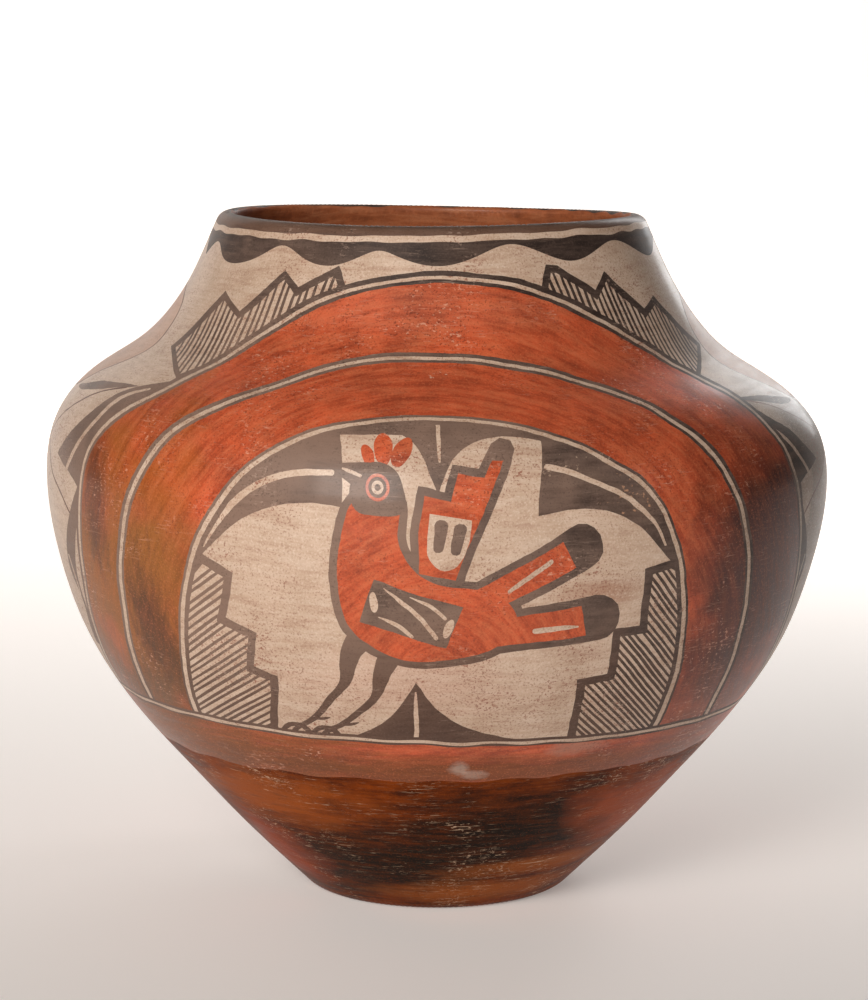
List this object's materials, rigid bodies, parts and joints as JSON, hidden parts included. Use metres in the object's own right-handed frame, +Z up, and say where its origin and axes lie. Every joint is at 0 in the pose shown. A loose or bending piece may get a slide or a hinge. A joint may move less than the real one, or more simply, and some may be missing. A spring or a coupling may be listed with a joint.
{
  "type": "storage jar",
  "caption": "Large hand-coiled earthenware storage jar with a wide shoulder, short leaning-in neck, open mouth and small flat foot, painted in black and red on a cream slip.",
  "frame": {"origin": "middle of the foot, on the surface that the jar stands on", "axes": "+Z up through the mouth, -Y out through the middle of the painted face, +X to the right of a person who looks at that face"},
  "size_m": [0.4612, 0.4588, 0.4025],
  "materials": {
    "painted_earthenware": "unglazed low-fired clay, slipped cream above and red below, painted in matte black and red, stone-burnished to a soft sheen"
  },
  "bodies": {
    "root": {"jar": "painted_earthenware"}
  },
  "joints": []
}
